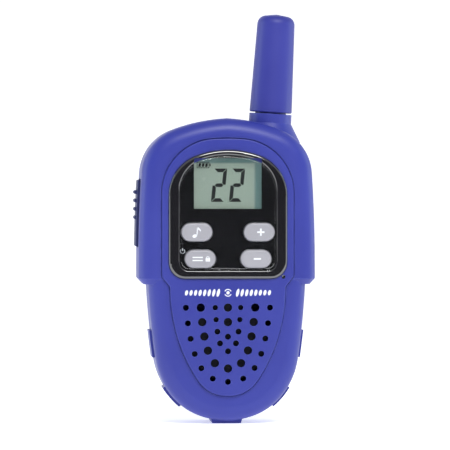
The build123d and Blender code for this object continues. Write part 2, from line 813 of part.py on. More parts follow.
def battery_cells():
    """Three cells side by side, the middle one turned over."""
    cells = []
    for x, sign in cell_signs:
        top = cell_long - cell_nub
        can = rod_z(cell_dia / 2, 0, top, 0, 0)
        can = fillet(can.edges(), 0.5) + rod_z(cell_nub_dia / 2, top - 0.2, cell_long, 0, 0)
        low = bay_high - contact_thick - fit_gap / 2 - cell_long
        if sign < 0:
            can = Rot(180, 0, 0) * can
            low = bay_low + contact_thick + fit_gap / 2 + cell_long
        cells.append(Pos(x, cell_y, low) * can)
    return joined(cells)


def contact_springs():
    """Coil springs that press on the cells' flat ends."""
    springs = []
    for x, sign in cell_signs:
        gap = bay_tall - 2 * contact_thick - cell_long
        height = gap - spring_wire - 3 * fit_gap
        path = Helix(pitch=height / spring_turns, height=height, radius=2.6)
        coil = sweep(Plane(path @ 0, z_dir=path % 0) * Circle(spring_wire / 2), path)
        start = bay_low + contact_thick if sign > 0 else bay_high - contact_thick - gap
        springs.append(Pos(x, cell_y, start + (gap - height) / 2) * coil)
    return joined(springs)


def contact_plates():
    """Nickel strips at both ends of the bay: one links two cells and one serves a single cell."""
    t, half = contact_thick, 4.2
    y = (cell_y - 3.6, cell_y + 3.6)
    link_x = (-cell_pitch - half, half)
    solo_x = (cell_pitch - half, cell_pitch + half)
    top, low = (bay_high - t, bay_high - 0.01), (bay_low + 0.01, bay_low + t)
    flip = [(-x[1], -x[0]) for x in (link_x, solo_x)]
    places = [(link_x, low), (solo_x, low), (flip[0], top), (flip[1], top)]
    return joined(block(x, y, z) for x, z in places)


def battery_door(outer, hollow):
    """Cut from the rear wall, with two hooks at the top and cheeks for the latch's pin."""
    body = (outer - hollow) & slab(door_outline(), door_seat, far)
    for side in (1, -1):
        x = (side * hook_x - hook_half, side * hook_x + hook_half)
        y = (rear_inside - fit_gap - hook_thick, rear_inside - fit_gap)
        body += block(x, y, (door_high - 0.9, door_high + hook_reach))
        body += block(x, (y[0], rear_inside + 0.3), (door_high - 0.9, door_high - 0.1))
    cheek = latch_half + latch_cheek + door_gap
    body += block((-cheek, cheek), (latch_pivot_y - 1.4, rear_inside + 0.1),
                  (latch_pivot_z - 1.0, latch_pivot_z + 1.2))
    notch = latch_half + door_gap
    body -= block((-notch, notch), (0, far), (-far, latch_high + door_gap))
    body -= rod_x(latch_pin_dia / 2, -cheek + 0.6, cheek - 0.6, latch_pivot_y, latch_pivot_z)
    scoop = Pos(0, depth_rear + 4.2, latch_high + 0.4) * Sphere(5.2)
    return body - scoop


def battery_latch():
    """Lever at the door's lower edge, with a toe that reaches towards the catch."""
    x = (-latch_half, latch_half)
    inner = depth_rear - latch_thick
    plate = block(x, (inner, depth_rear), (latch_pivot_z, latch_high))
    plate = fillet(plate.edges().filter_by(Axis.X).group_by(Axis.Z)[-1], 0.4)
    body = plate + rod_x(latch_round, *x, latch_pivot_y, latch_pivot_z)
    tip_z = door_low - door_gap + toe_gap
    toe = [(rear_inside - 1.0, tip_z), (rear_inside - 0.2, tip_z), (latch_pivot_y, latch_pivot_z - 0.9),
           (latch_pivot_y, latch_pivot_z + 0.3), (rear_inside - 0.7, latch_pivot_z)]
    body += side_profile(toe, -3.0, 3.0)
    for count in range(3):
        body += rod_x(0.3, x[0] + 2, x[1] - 2, depth_rear, latch_high - 1.6 - 1.3 * count)
    return body - rod_x(latch_pin_dia / 2 + pin_gap, -far, far, latch_pivot_y, latch_pivot_z)


def latch_pin_solid():
    """Steel pin that the latch turns on."""
    end = latch_half + latch_cheek + door_gap - 0.65
    return rod_x(latch_pin_dia / 2 - 0.01, -end, end, latch_pivot_y, latch_pivot_z)


# ---- belt clip ----------------------------------------------------------------------------------
def belt_clip():
    """One-piece clip: a block that slides down over the rail, and a tongue with a rounded tip."""
    inner = depth_rear + clip_throat
    outer = inner + clip_thick
    seat = depth_rear + run_gap
    outline = [(seat, clip_high), (outer - 2.0, clip_high), (outer, clip_high - 2.0), (outer, clip_low + 8),
               (outer - clip_nib, clip_low + 4), (outer, clip_low), (inner + 0.4, clip_low),
               (inner - clip_nib, clip_low + 4), (inner, clip_low + 8), (inner, clip_block_low),
               (seat, clip_block_low)]
    body = side_profile(outline, -clip_half, clip_half)
    trim = Pos(0, (clip_low + clip_high) / 2) * RectangleRounded(2 * clip_half, clip_high - clip_low, 5)
    body &= slab(trim, 0, far)
    body -= block((-rail_neck_half - fit_gap, rail_neck_half + fit_gap), (0, depth_rear + rail_lift + 0.2),
                  (-far, rail_high + fit_gap))
    body -= block((-rail_half - fit_gap, rail_half + fit_gap),
                  (depth_rear + rail_lift - fit_gap, depth_rear + rail_lift + rail_cap + fit_gap),
                  (clip_block_low - 1, rail_high + fit_gap))
    return body


# ---- fasteners ----------------------------------------------------------------------------------
def case_screw(x, z):
    """Pan-head self-tapping screw with a cross recess, driven from the back."""
    head = rod_y(screw_head_dia / 2, screw_seat + 0.02, screw_seat + screw_head_tall, x, z)
    head = rounded_rim(head, 0.5, screw_seat + screw_head_tall)
    body = head + rod_y(screw_dia / 2, screw_seat - screw_long, screw_seat + 0.3, x, z)
    top = (screw_seat + screw_head_tall - 0.8, far)
    for long, wide in ((1.1, 0.3), (0.3, 1.1)):
        body -= block((x - long, x + long), top, (z - wide, z + wide))
    return body


# ---- build --------------------------------------------------------------------------------------
outer = outer_body()
hollow = form(wall, 1.0) + slab(plateau_outline(wall), front_inside, -depth_front / 2)
hollow_grown = form(wall - 0.2, 1.2) + slab(plateau_outline(wall), front_inside - 0.2, -depth_front / 2)

save("front_housing", front_housing(outer, hollow))
save("rear_housing", rear_housing(outer, hollow))
save("display_bezel", display_bezel())
save("display_lens", display_lens())
save("lcd_panel", lcd_panel())
save("light_guide", light_guide())
save("contact_strip", contact_strip())
save("lcd_holder", lcd_holder())
for name, place in key_places.items():
    save(name, front_key(place))
save("keypad_mat", keypad_mat())
save("dome_switches", dome_switches())
save("main_board", main_board())
save("rf_shield", rf_shield())
save("board_chips", board_chips())
save("crystal_can", crystal_can())
save("talk_switch", talk_switch())
save("switch_plunger", switch_plunger())
save("talk_bar", talk_bar())
save("talk_pin", talk_pin())
save("speaker_cloth", speaker_cloth())
save("speaker_gasket", speaker_gasket())
save("speaker_frame", speaker_frame())
save("speaker_cone", speaker_cone())
save("speaker_magnet", speaker_magnet())
save("microphone", microphone())
save("microphone_boot", microphone_boot())
save("aerial_sheath", aerial_sheath())
save("aerial_core", aerial_core())
save("aerial_coil", aerial_coil())
save("aerial_ferrule", aerial_ferrule())
save("aerial_contact", aerial_contact())
save("battery_cells", battery_cells())
save("contact_springs", contact_springs())
save("contact_plates", contact_plates())
save("battery_door", battery_door(outer, hollow))
save("battery_latch", battery_latch())
save("latch_pin", latch_pin_solid())
save("belt_clip", belt_clip())
save("case_screws", joined(case_screw(x, z) for x, z in screw_places))
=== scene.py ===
import math

import bmesh
import bpy
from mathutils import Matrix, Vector


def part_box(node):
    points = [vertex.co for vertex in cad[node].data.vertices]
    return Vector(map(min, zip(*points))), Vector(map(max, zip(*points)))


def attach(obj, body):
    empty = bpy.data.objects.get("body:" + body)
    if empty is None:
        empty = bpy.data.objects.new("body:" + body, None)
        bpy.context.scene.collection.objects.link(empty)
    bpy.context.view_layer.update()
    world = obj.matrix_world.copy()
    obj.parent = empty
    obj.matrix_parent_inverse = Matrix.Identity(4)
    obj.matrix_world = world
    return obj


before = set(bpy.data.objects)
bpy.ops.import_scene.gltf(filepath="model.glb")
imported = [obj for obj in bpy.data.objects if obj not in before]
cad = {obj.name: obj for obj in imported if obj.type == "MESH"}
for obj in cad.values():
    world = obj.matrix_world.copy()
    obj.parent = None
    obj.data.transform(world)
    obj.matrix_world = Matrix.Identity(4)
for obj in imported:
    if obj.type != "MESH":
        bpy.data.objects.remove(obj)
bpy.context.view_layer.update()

# ---- circuit board ------------------------------------------------------------------------------
# A green glass-fibre board carries the radio's parts: black moulded chips, a soldered steel can, a
# quartz crystal, the talk switch and four snap domes under the keys. It sits on the front housing's
# ribs, and the silicone key mat is trapped between the two.
mm = 0.001


def tone(red, green, blue):
    """A colour off a chart, 0 to 255, as the shader wants it."""
    parts = [part / 255 for part in (red, green, blue)]
    return (*[p / 12.92 if p <= 0.04045 else ((p + 0.055) / 1.055) ** 2.4 for p in parts], 1.0)


def shared_effect(name, numbers, results):
    """An empty shader group with named number inputs and named results."""
    group = bpy.data.node_groups.new(name, "ShaderNodeTree")
    for label, value in numbers.items():
        socket = group.interface.new_socket(label, in_out="INPUT", socket_type="NodeSocketFloat")
        socket.default_value = value
    for label in results:
        group.interface.new_socket(label, in_out="OUTPUT", socket_type="NodeSocketFloat")
    return group, group.nodes.new("NodeGroupInput"), group.nodes.new("NodeGroupOutput")


def spanned(tree, value, low, high, start=0.0, end=1.0):
    """Stretches a value from one range to another."""
    node = tree.nodes.new("ShaderNodeMapRange")
    tree.links.new(value, node.inputs["Value"])
    node.inputs["From Min"].default_value = start
    node.inputs["From Max"].default_value = end
    node.inputs["To Min"].default_value = low
    node.inputs["To Max"].default_value = high
    return node.outputs["Result"]


def blended(tree, factor, first, second):
    """Mixes two colours, either of which may be a socket."""
    node = tree.nodes.new("ShaderNodeMix")
    node.data_type = "RGBA"
    tree.links.new(factor, node.inputs[0])
    for place, colour in ((6, first), (7, second)):
        if isinstance(colour, tuple):
            node.inputs[place].default_value = colour
        else:
            tree.links.new(colour, node.inputs[place])
    return node.outputs[2]


def sum_of(tree, operation, first, second):
    """One step of arithmetic on sockets or numbers."""
    node = tree.nodes.new("ShaderNodeMath")
    node.operation = operation
    for place, value in enumerate((first, second)):
        if isinstance(value, (int, float)):
            node.inputs[place].default_value = value
        else:
            tree.links.new(value, node.inputs[place])
    return node.outputs[0]


# Fine mould texture and slow drift of tone, both fixed to the piece.
grain_effect, into, out = shared_effect("Moulded Grain", {"Grain": 3000.0, "Drift": 60.0},
                                        ("Height", "Cloud"))
at = grain_effect.nodes.new("ShaderNodeTexCoord").outputs["Object"]
for label, result, detail in (("Grain", "Height", 2.0), ("Drift", "Cloud", 4.0)):
    noise = grain_effect.nodes.new("ShaderNodeTexNoise")
    noise.inputs["Detail"].default_value = detail
    grain_effect.links.new(at, noise.inputs["Vector"])
    grain_effect.links.new(into.outputs[label], noise.inputs["Scale"])
    grain_effect.links.new(noise.outputs[0], out.inputs[result])

# Lighter corners, for rubbed wear and, on the keys, a painted highlight: the rounded normal leaves the true
# one, broken up by a patchy noise.
wear_and_highlight_effect, into, out = shared_effect("Rubbed And Highlit Edges", {"Width": 0.0003, "Patches": 220.0}, ("Mask",))
rounded = wear_and_highlight_effect.nodes.new("ShaderNodeBevel")
rounded.samples = 4
wear_and_highlight_effect.links.new(into.outputs["Width"], rounded.inputs["Radius"])
lean = wear_and_highlight_effect.nodes.new("ShaderNodeVectorMath")
lean.operation = "DOT_PRODUCT"
true_face = wear_and_highlight_effect.nodes.new("ShaderNodeNewGeometry")
wear_and_highlight_effect.links.new(rounded.outputs["Normal"], lean.inputs[0])
wear_and_highlight_effect.links.new(true_face.outputs["Normal"], lean.inputs[1])
noise = wear_and_highlight_effect.nodes.new("ShaderNodeTexNoise")
at = wear_and_highlight_effect.nodes.new("ShaderNodeTexCoord").outputs["Object"]
wear_and_highlight_effect.links.new(at, noise.inputs["Vector"])
wear_and_highlight_effect.links.new(into.outputs["Patches"], noise.inputs["Scale"])
corner = spanned(wear_and_highlight_effect, lean.outputs["Value"], 0.0, 1.0, 0.985, 0.86)
patch = spanned(wear_and_highlight_effect, noise.outputs[0], 0.15, 1.0, 0.38, 0.62)
wear_and_highlight_effect.links.new(sum_of(wear_and_highlight_effect, "MULTIPLY", corner, patch), out.inputs["Mask"])


def finish(name, colour, cloud_colour, gloss, grain=3000.0, depth=0.004, drift=60.0, edge=None,
           metal=0.0, coat=0.0):
    """A moulded, painted or metal finish: drifting tone, fine grain and lighter corners, which are rubbed
    wear on most finishes and a painted highlight on the keys.
    """
    material = bpy.data.materials.new(name)
    material.use_nodes = True
    tree = material.node_tree
    shader = tree.nodes["Principled BSDF"]
    texture = tree.nodes.new("ShaderNodeGroup")
    texture.node_tree = grain_effect
    texture.inputs["Grain"].default_value = grain
    texture.inputs["Drift"].default_value = drift
    cloud = spanned(tree, texture.outputs["Cloud"], 0.0, 1.0, 0.3, 0.7)
    skin = blended(tree, cloud, colour, cloud_colour)
    shine = spanned(tree, texture.outputs["Cloud"], gloss[0], gloss[1], 0.3, 0.7)
    if edge:
        lighter_edge = tree.nodes.new("ShaderNodeGroup")
        lighter_edge.node_tree = wear_and_highlight_effect
        lighter_edge.inputs["Width"].default_value = edge[1] * mm
        skin = blended(tree, lighter_edge.outputs["Mask"], skin, edge[0])
    tree.links.new(skin, shader.inputs["Base Color"])
    tree.links.new(shine, shader.inputs["Roughness"])
    bump = tree.nodes.new("ShaderNodeBump")
    bump.inputs["Strength"].default_value = 0.6
    bump.inputs["Distance"].default_value = depth * mm
    tree.links.new(texture.outputs["Height"], bump.inputs["Height"])
    tree.links.new(bump.outputs["Normal"], shader.inputs["Normal"])
    shader.inputs["Metallic"].default_value = metal
    shader.inputs["Coat Weight"].default_value = coat
    shader.inputs["Coat Roughness"].default_value = 0.08
    return material


def dress(material, *pieces):
    """Gives CAD pieces a finish through their material slots."""
    for piece in pieces:
        for place in cad[piece].material_slots:
            place.material = material


dress(finish("board laminate", tone(20, 98, 52), tone(28, 116, 60), (0.28, 0.42), grain=1400, depth=0.006,
             edge=(tone(150, 160, 90), 0.2), coat=0.3), "main_board")
dress(finish("chip packages", tone(26, 26, 29), tone(36, 36, 38), (0.45, 0.62), edge=(tone(70, 70, 72), 0.1)),
      "board_chips")
dress(finish("switch moulding", tone(30, 30, 32), tone(42, 42, 44), (0.4, 0.55),
             edge=(tone(80, 80, 82), 0.1)), "talk_switch")
dress(finish("white plunger", tone(214, 214, 210), tone(226, 226, 222), (0.35, 0.5)), "switch_plunger")
plated_steel = finish("plated steel", tone(196, 198, 204), tone(176, 178, 186), (0.2, 0.42), grain=900,
                      depth=0.002, edge=(tone(228, 228, 232), 0.12), metal=1.0)
dress(plated_steel, "rf_shield", "crystal_can", "dome_switches")
dress(finish("key mat silicone", tone(146, 146, 152), tone(156, 156, 160), (0.5, 0.66), grain=2200,
             depth=0.006), "keypad_mat")

# ---- loudspeaker and microphone -----------------------------------------------------------------
# A 26 mm loudspeaker in a pressed steel basket is pushed into the housing's collar over a foam ring
# and a woven dust cloth. The electret microphone sits in a rubber boot behind its own small hole.
dress(finish("pressed basket", tone(170, 172, 178), tone(150, 152, 160), (0.28, 0.45), grain=800, depth=0.003,
             edge=(tone(214, 214, 218), 0.15), metal=1.0), "speaker_frame")
dress(finish("cone paper", tone(44, 44, 46), tone(58, 57, 58), (0.75, 0.92), grain=1600,
             depth=0.03, drift=300), "speaker_cone")
dress(finish("magnet cup", tone(92, 94, 100), tone(74, 76, 82), (0.35, 0.55), grain=1200, depth=0.006,
             edge=(tone(170, 172, 176), 0.15), metal=0.6), "speaker_magnet")
dress(finish("gasket foam", tone(36, 36, 38), tone(48, 48, 50), (0.85, 0.95), grain=1800,
             depth=0.06, drift=500), "speaker_gasket")
dress(finish("rubber boot", tone(30, 30, 32), tone(38, 38, 40), (0.6, 0.75), grain=2500), "microphone_boot")
dress(finish("drawn can", tone(206, 208, 212), tone(188, 190, 196), (0.2, 0.35), depth=0.002, metal=1.0),
      "microphone")

dust_cloth = finish("dust cloth", tone(17, 17, 21), tone(25, 25, 30), (0.8, 0.95), drift=400)
tree = dust_cloth.node_tree
at = tree.nodes.new("ShaderNodeTexCoord").outputs["Object"]
threads = []
for direction in ("X", "Z"):
    wave = tree.nodes.new("ShaderNodeTexWave")
    wave.bands_direction = direction
    wave.inputs["Scale"].default_value = 620.0
    tree.links.new(at, wave.inputs["Vector"])
    threads.append(wave.outputs[1])
weave = sum_of(tree, "MULTIPLY", *threads)
bump = tree.nodes["Bump"]
bump.inputs["Distance"].default_value = 0.06 * mm
tree.links.new(weave, bump.inputs["Height"])
dress(dust_cloth, "speaker_cloth")

# ---- liquid crystal display ---------------------------------------------------------------------
# Two bonded glasses on a clear light guide, clipped to the board by a white frame and joined to it by
# a striped rubber strip. The figures and the charge gauge are dark cells just under the front glass.
glass_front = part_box("lcd_panel")[0].y / mm
window_right, window_top = 11.2, 87.85

liquid_crystal = finish("liquid crystal glass", tone(150, 165, 150), tone(158, 172, 158), (0.22, 0.3),
                        grain=4000, depth=0.001, drift=25)
tree = liquid_crystal.node_tree
shader = tree.nodes["Principled BSDF"]
plain = shader.inputs["Base Color"].links[0].from_socket
# Painted shadow: the display is darkened in a band along its top and right edges, where the window's edges
# would shade it.
place = tree.nodes.new("ShaderNodeSeparateXYZ")
tree.links.new(tree.nodes.new("ShaderNodeTexCoord").outputs["Object"], place.inputs["Vector"])
upper = spanned(tree, place.outputs["Z"], 0.0, 1.0, (window_top - 1.9) * mm, (window_top - 1.3) * mm)
right = spanned(tree, place.outputs["X"], 0.0, 1.0, (window_right - 2.6) * mm, (window_right - 1.8) * mm)
shadow_margin_mask = sum_of(tree, "MAXIMUM", upper, right)
shadowed_display_tone = blended(tree, shadow_margin_mask, plain, tone(104, 132, 128))
tree.links.new(shadowed_display_tone, shader.inputs["Base Color"])
# Painted light: the display glows in its own colour, painted shadow band included, which makes it brighter.
tree.links.new(shadowed_display_tone, shader.inputs["Emission Color"])
shader.inputs["Emission Strength"].default_value = 0.43
dress(liquid_crystal, "lcd_panel")

dress(finish("light guide", tone(214, 220, 216), tone(226, 230, 228), (0.1, 0.18), depth=0.001),
      "light_guide")
dress(finish("white frame moulding", tone(214, 214, 208), tone(224, 224, 220), (0.4, 0.55)), "lcd_holder")
striped = finish("striped rubber", tone(206, 142, 150), tone(214, 150, 158), (0.5, 0.6), depth=0.003)
tree = striped.node_tree
wave = tree.nodes.new("ShaderNodeTexWave")
wave.bands_direction = "Z"
wave.inputs["Scale"].default_value = 500.0
tree.links.new(tree.nodes.new("ShaderNodeTexCoord").outputs["Object"], wave.inputs["Vector"])
base = tree.nodes["Principled BSDF"].inputs["Base Color"]
tree.links.new(blended(tree, wave.outputs[1], base.links[0].from_socket, tone(40, 34, 36)), base)
dress(striped, "contact_strip")


def inked(name, outlines, front, deep, body, material):
    """A thin layer of ink or dark cells: closed (X, Z) outlines in millimetres at one depth."""
    layer = bmesh.new()
    for outline in outlines:
        near = [layer.verts.new((x * mm, front * mm, z * mm)) for x, z in outline]
        behind = [layer.verts.new((x * mm, (front + deep) * mm, z * mm)) for x, z in outline]
        layer.faces.new(near)
        layer.faces.new(behind[::-1])
        for n in range(len(outline)):
            layer.faces.new((near[n - 1], behind[n - 1], behind[n], near[n]))
    bmesh.ops.recalc_face_normals(layer, faces=layer.faces[:])
    bmesh.ops.triangulate(layer, faces=layer.faces[:])
    mesh = bpy.data.meshes.new(name)
    layer.to_mesh(mesh)
    layer.free()
    piece = bpy.data.objects.new(name, mesh)
    bpy.context.scene.collection.objects.link(piece)
    mesh.materials.append(material)
    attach(piece, body)
    return piece


def seven_segment(left, top, wide, tall, thick, lit, lean=0.1, gap=0.1):
    """The lit segments of one slanted figure, as outlines."""
    half = tall / 2
    bar = {
        "top": [(gap, 0), (wide - gap, 0), (wide - gap - thick, thick), (gap + thick, thick)],
        "bottom": [(gap + thick, tall - thick), (wide - gap - thick, tall - thick), (wide - gap, tall),
                   (gap, tall)],
        "middle": [(thick / 2 + gap, half), (thick + gap, half - thick / 2),
                   (wide - thick - gap, half - thick / 2), (wide - thick / 2 - gap, half),
                   (wide - thick - gap, half + thick / 2), (thick + gap, half + thick / 2)],
        "upper right": [(wide, gap), (wide, half - gap), (wide - thick / 2, half - gap),
                        (wide - thick, half - thick / 2 - gap), (wide - thick, thick + gap)],
        "lower left": [(0, half + gap), (thick / 2, half + gap), (thick, half + thick / 2 + gap),
                       (thick, tall - thick - gap), (0, tall - gap)],
    }
    return [[(left + u + lean * (tall - v), top - v) for u, v in bar[name]] for name in lit]


two = ("top", "upper right", "middle", "lower left", "bottom")
dark_cells = finish("dark cells", tone(16, 20, 19), tone(24, 28, 26), (0.4, 0.5), depth=0.001)
figures = []
for left in (-5.5, 0.45):
    figures += seven_segment(left, 84.45, 4.3, 11.0, 1.2, two)
inked("channel_figures", figures, glass_front - 0.02, 0.03, "housing", dark_cells)

gauge_left, gauge_top, gauge_wide, gauge_tall, rule = -10.15, 86.6, 4.1, 2.0, 0.2
gauge = []
for x, z, wide, tall in (
    (gauge_left, gauge_top, gauge_wide, rule),
    (gauge_left, gauge_top - gauge_tall + rule, gauge_wide, rule),
    (gauge_left, gauge_top - rule, rule, gauge_tall - 2 * rule),
    (gauge_left + gauge_wide - rule, gauge_top - rule, rule, gauge_tall - 2 * rule),
    (gauge_left + gauge_wide + 0.08, gauge_top - 0.6, 0.4, 0.8),
):
    gauge.append([(x, z), (x + wide, z), (x + wide, z - tall), (x, z - tall)])
for count in range(3):
    x = gauge_left + 0.45 + 1.12 * count
    gauge.append([(x + 0.2, gauge_top - 0.4), (x + 1.0, gauge_top - 0.4), (x + 0.8, gauge_top - 1.6),
                  (x, gauge_top - 1.6)])
inked("charge_gauge", gauge, glass_front - 0.02, 0.03, "housing", dark_cells)

# ---- display surround and window ----------------------------------------------------------------
# The surround is one gloss black moulding, a raised ring over a plate with openings. A clear polished
# window is bonded into the ring and the keys come up through both. The power mark is screen printed
# on the plate before the window goes on.
gloss_black = finish("gloss surround", tone(24, 23, 27), tone(30, 29, 33), (0.05, 0.1), grain=2500,
                     depth=0.001, edge=(tone(58, 57, 62), 0.12))
# A real gloss plastic is near 1.5. The higher value given here brightens the ring's narrow edges.
gloss_black.node_tree.nodes["Principled BSDF"].inputs["IOR"].default_value = 2.2
dress(gloss_black, "display_bezel")

clear_window = bpy.data.materials.new("polished window")
clear_window.use_nodes = True
tree = clear_window.node_tree
shader = tree.nodes["Principled BSDF"]
shader.inputs["Transmission Weight"].default_value = 1.0
# Real acrylic is 1.49. At 1.02 the soft edge bends the figures behind it less, and the coat, stronger than a
# real one, gives the window its shine.
shader.inputs["IOR"].default_value = 1.02
shader.inputs["Coat Weight"].default_value = 1.0
shader.inputs["Coat IOR"].default_value = 2.0
shader.inputs["Coat Roughness"].default_value = 0.02
texture = tree.nodes.new("ShaderNodeGroup")
texture.node_tree = grain_effect
texture.inputs["Drift"].default_value = 90.0
tree.links.new(spanned(tree, texture.outputs["Cloud"], 0.01, 0.05, 0.3, 0.7), shader.inputs["Roughness"])
clear_tone = blended(tree, texture.outputs["Cloud"], tone(250, 251, 252), tone(242, 245, 248))
tree.links.new(clear_tone, shader.inputs["Base Color"])
dress(clear_window, "display_lens")

white_ink = finish("white screen print", tone(226, 230, 236), tone(238, 240, 243), (0.4, 0.55), grain=5000,
                   depth=0.003)


def arc_band(x, z, radius, thick, start, end, steps=24):
    """Outline of part of a ring, from one angle to another in degrees."""
    turns = [math.radians(start + (end - start) * n / steps) for n in range(steps + 1)]
    outer = [(x + (radius + thick / 2) * math.cos(a), z + (radius + thick / 2) * math.sin(a)) for a in turns]
    inner = [(x + (radius - thick / 2) * math.cos(a), z + (radius - thick / 2) * math.sin(a)) for a in turns]
    return outer + inner[::-1]


def bar_outline(x, z, wide, tall, lean=0.0):
    """Outline of an upright or slanted bar, by its middle."""
    half, rise = wide / 2, tall / 2
    return [(x - half - lean * rise, z - rise), (x + half - lean * rise, z - rise),
            (x + half + lean * rise, z + rise), (x - half + lean * rise, z + rise)]


plate_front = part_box("display_lens")[1].y / mm + 0.1
power_x, power_z = -14.95, 57.2
inked("power_mark", [arc_band(power_x, power_z, 0.72, 0.26, 128, 412),
                     bar_outline(power_x, power_z + 0.58, 0.26, 1.0)],
      plate_front - 0.02, 0.03, "housing", white_ink)

# ---- front keys ---------------------------------------------------------------------------------
# Four silicone pills with a satin skin, crowned along their edges, each with a white printed mark:
# a note for the call tone, a plus and a minus, and a list with a padlock for the menu and key lock.
# The keys' pale rims are a painted highlight along their crowned edges, laid on through the edge mask.
dress(finish("key silicone", tone(154, 153, 160), tone(164, 163, 169), (0.3, 0.44), grain=3600, depth=0.006,
             edge=(tone(206, 206, 212), 0.45)), "call_key", "up_key", "menu_key", "down_key")

key_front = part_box("call_key")[0].y / mm


def middle_of(node):
    low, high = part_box(node)
    return (low.x + high.x) / 2 / mm, (low.z + high.z) / 2 / mm


def round_blob(x, z, long, short, lean=0.0, steps=20):
    """Outline of a leaning ellipse."""
    turns = [math.tau * n / steps for n in range(steps)]
    return [(x + long * math.cos(a) * math.cos(lean) - short * math.sin(a) * math.sin(lean),
             z + long * math.cos(a) * math.sin(lean) + short * math.sin(a) * math.cos(lean)) for a in turns]


x, z = middle_of("call_key")
note = [round_blob(x - 0.75, z - 1.25, 0.8, 0.55, 0.35), bar_outline(x + 0.05, z + 0.3, 0.34, 3.0, 0.08)]
note.append([(x + 0.0, z + 1.8), (x + 0.34, z + 1.8), (x + 1.25, z + 0.75), (x + 1.2, z + 0.1),
             (x + 0.9, z + 0.6), (x + 0.25, z + 0.95)])
x, z = middle_of("up_key")
plus = [bar_outline(x + 0.45, z, 2.4, 0.55), bar_outline(x + 0.45, z + 0.74, 0.55, 0.92),
        bar_outline(x + 0.45, z - 0.74, 0.55, 0.92)]
x, z = middle_of("down_key")
minus = [bar_outline(x + 0.4, z, 2.4, 0.55)]
x, z = middle_of("menu_key")
listing = [bar_outline(x - 0.9, z + rise, 3.4, 0.42) for rise in (0.5, -0.5)]
listing += [bar_outline(x + 2.45, z - 0.3, 1.5, 1.1), arc_band(x + 2.45, z + 0.28, 0.46, 0.24, 0, 180)]
for key, marks in (("call_key", note), ("up_key", plus), ("down_key", minus), ("menu_key", listing)):
    inked(key.replace("key", "mark"), marks, key_front - 0.015, 0.03, key, white_ink)

# ---- aerial -------------------------------------------------------------------------------------
# A copper winding on a white rod, soldered to a brass foot that a bent strip feeds from the board. A
# soft tapered sleeve covers it and its spigot is held in the housing's neck.
dress(finish("aerial sleeve", tone(41, 46, 138), tone(47, 52, 146), (0.42, 0.54), grain=2600,
             depth=0.006, drift=45, edge=(tone(88, 94, 172), 0.35)), "aerial_sheath")
dress(finish("enamelled copper", tone(190, 108, 62), tone(170, 92, 50), (0.2, 0.34), depth=0.002, metal=1.0),
      "aerial_coil")
dress(finish("core moulding", tone(218, 218, 212), tone(226, 226, 222), (0.4, 0.5)), "aerial_core")
dress(finish("turned brass", tone(206, 172, 96), tone(188, 152, 78), (0.22, 0.36), grain=1500, depth=0.002,
             edge=(tone(230, 204, 140), 0.1), metal=1.0), "aerial_ferrule", "aerial_contact")

# ---- housings -----------------------------------------------------------------------------------
# Two satin blue mouldings, sparked to a fine even grain in the mould, that meet at mid depth over a
# lip. Four screws pull them together from behind. Corners that hands and tables touch are rubbed
# lighter, and the parting line holds a little shade.
blue_shell = finish("satin blue shell", tone(42, 50, 145), tone(48, 57, 154), (0.36, 0.48), grain=3200,
                    depth=0.007, drift=30, edge=(tone(82, 94, 186), 0.35))
tree = blue_shell.node_tree
place = tree.nodes.new("ShaderNodeSeparateXYZ")
tree.links.new(tree.nodes.new("ShaderNodeTexCoord").outputs["Object"], place.inputs["Vector"])
offset = sum_of(tree, "ABSOLUTE", place.outputs["Y"], 0.0)
seam = spanned(tree, offset, 0.8, 0.0, 0.06 * mm, 0.2 * mm)
base = tree.nodes["Principled BSDF"].inputs["Base Color"]
tree.links.new(blended(tree, seam, base.links[0].from_socket, tone(22, 26, 74)), base)
dress(blue_shell, "front_housing", "rear_housing", "battery_door", "battery_latch")

# The printed band under the display is a plain row of leaning strokes either side of a ringed dot.
stroke_row = bpy.data.node_groups.new("Leaning Strokes", "GeometryNodeTree")
stroke_row.is_modifier = True
face = stroke_row.interface
face.new_socket("Geometry", in_out="OUTPUT", socket_type="NodeSocketGeometry")
face.new_socket("Strokes", in_out="INPUT", socket_type="NodeSocketInt")
for label in ("First", "Pitch", "Half Width", "Half Height", "Thickness", "Lean", "Taper", "Depth", "Level"):
    face.new_socket(label, in_out="INPUT", socket_type="NodeSocketFloat")
face.new_socket("Ink", in_out="INPUT", socket_type="NodeSocketMaterial")
given = stroke_row.nodes.new("NodeGroupInput")
made = stroke_row.nodes.new("NodeGroupOutput")


def joined_xyz(x, y, z):
    """A vector from sockets or numbers."""
    node = stroke_row.nodes.new("ShaderNodeCombineXYZ")
    for place, value in enumerate((x, y, z)):
        if isinstance(value, (int, float)):
            node.inputs[place].default_value = value
        else:
            stroke_row.links.new(value, node.inputs[place])
    return node.outputs[0]


line = stroke_row.nodes.new("GeometryNodeMeshLine")
line.mode = "OFFSET"
stroke_row.links.new(given.outputs["Strokes"], line.inputs["Count"])
stroke_row.links.new(joined_xyz(given.outputs["First"], given.outputs["Depth"], given.outputs["Level"]),
                     line.inputs["Start Location"])
stroke_row.links.new(joined_xyz(given.outputs["Pitch"], 0.0, 0.0), line.inputs["Offset"])
lozenge = stroke_row.nodes.new("GeometryNodeMeshCylinder")
lozenge.inputs["Vertices"].default_value = 20
lozenge.inputs["Radius"].default_value = 1.0
lozenge.inputs["Depth"].default_value = 1.0
laid = stroke_row.nodes.new("GeometryNodeTransform")
stroke_row.links.new(lozenge.outputs["Mesh"], laid.inputs["Geometry"])
laid.inputs["Rotation"].default_value = (math.pi / 2, 0.0, 0.0)
number = stroke_row.nodes.new("GeometryNodeInputIndex").outputs[0]
shrink = sum_of(stroke_row, "POWER", given.outputs["Taper"], number)
shrunk = sum_of(stroke_row, "MULTIPLY", given.outputs["Half Height"], shrink)
copies = stroke_row.nodes.new("GeometryNodeInstanceOnPoints")
stroke_row.links.new(line.outputs["Mesh"], copies.inputs["Points"])
